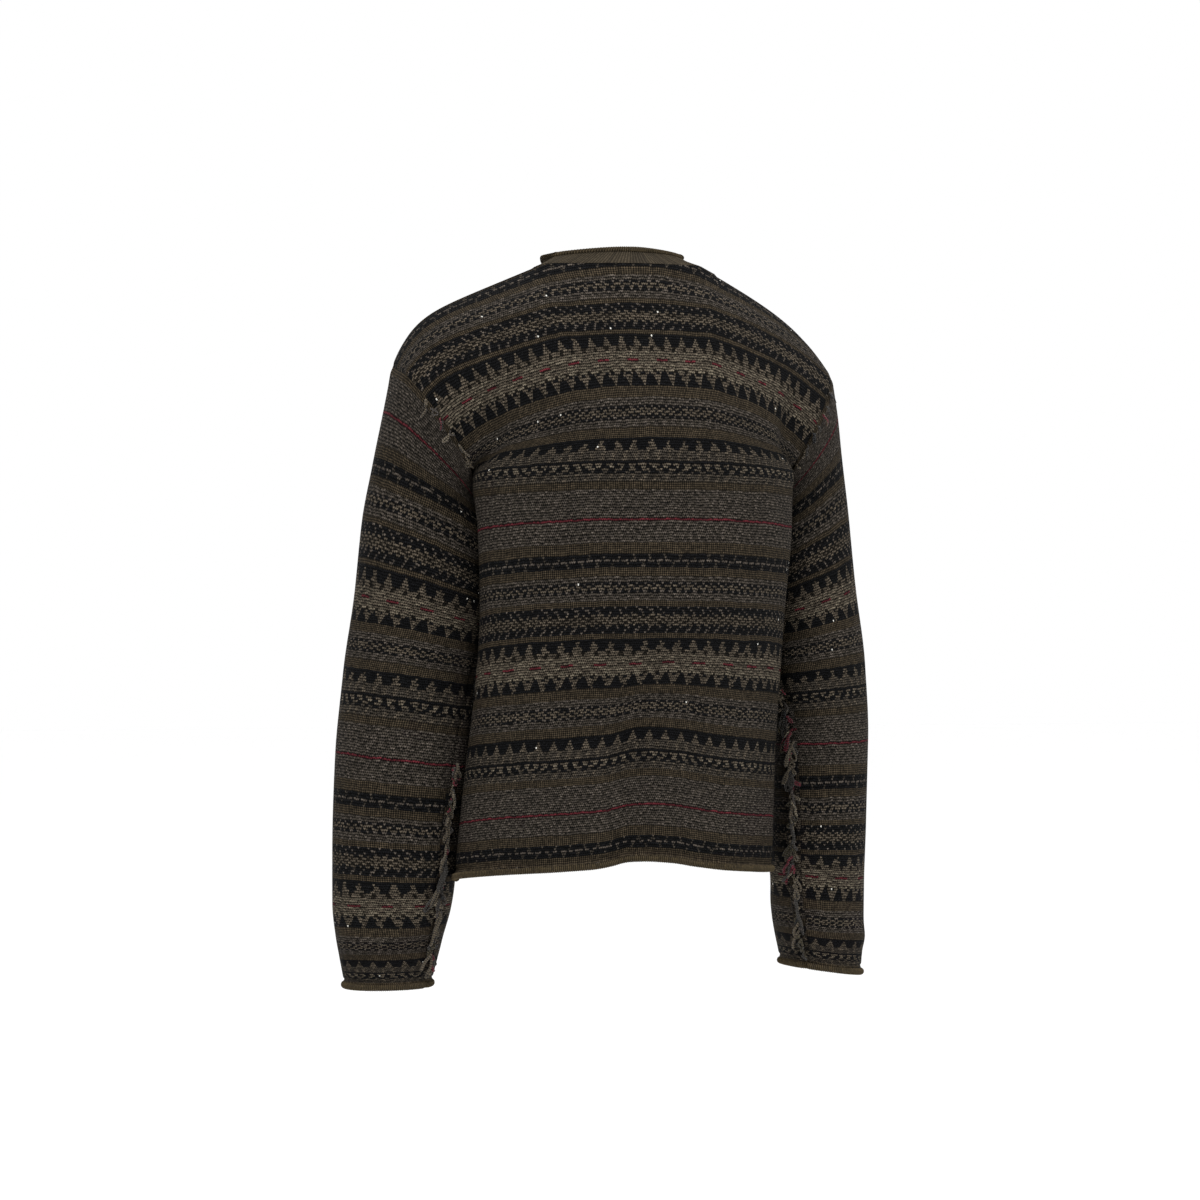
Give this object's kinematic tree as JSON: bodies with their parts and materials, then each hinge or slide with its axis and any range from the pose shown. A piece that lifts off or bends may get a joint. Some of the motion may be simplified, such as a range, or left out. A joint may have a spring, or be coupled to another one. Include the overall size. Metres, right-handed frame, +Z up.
{
  "type": "fair isle sweater",
  "caption": "Worn long-sleeved pullover knitted in bands of small geometric repeats, drop shoulders, ribbed crew neck, rolled hem and cuffs, raw yarn ends along its seams.",
  "frame": {"origin": "midway between the two side-neck points, where the garment hangs from the wearer's shoulders", "axes": "+Z up along the body, -Y towards the wearer's front, +X towards the wearer's left"},
  "size_m": [0.5862, 0.3223, 0.7836],
  "materials": {
    "body_knit": "stranded wool knit in bands, matt",
    "sleeve_knit": "stranded wool knit in bands, matt",
    "rib_knit": "ribbed tweed wool, matt",
    "rolled_edge": "rolled tweed wool edge, matt",
    "loose_yarn": "loose wool yarn, matt"
  },
  "bodies": {
    "root": {"back_panel": "body_knit", "front_panel": "body_knit", "left_sleeve": "sleeve_knit", "right_sleeve": "sleeve_knit", "neck_rib": "rib_knit", "neck_roll": "rolled_edge", "hem_roll": "rolled_edge", "left_cuff_roll": "rolled_edge", "right_cuff_roll": "rolled_edge", "left_armhole_fringe": "loose_yarn", "right_armhole_fringe": "loose_yarn", "left_sleeve_fringe": "loose_yarn", "right_sleeve_fringe": "loose_yarn"}
  },
  "joints": []
}
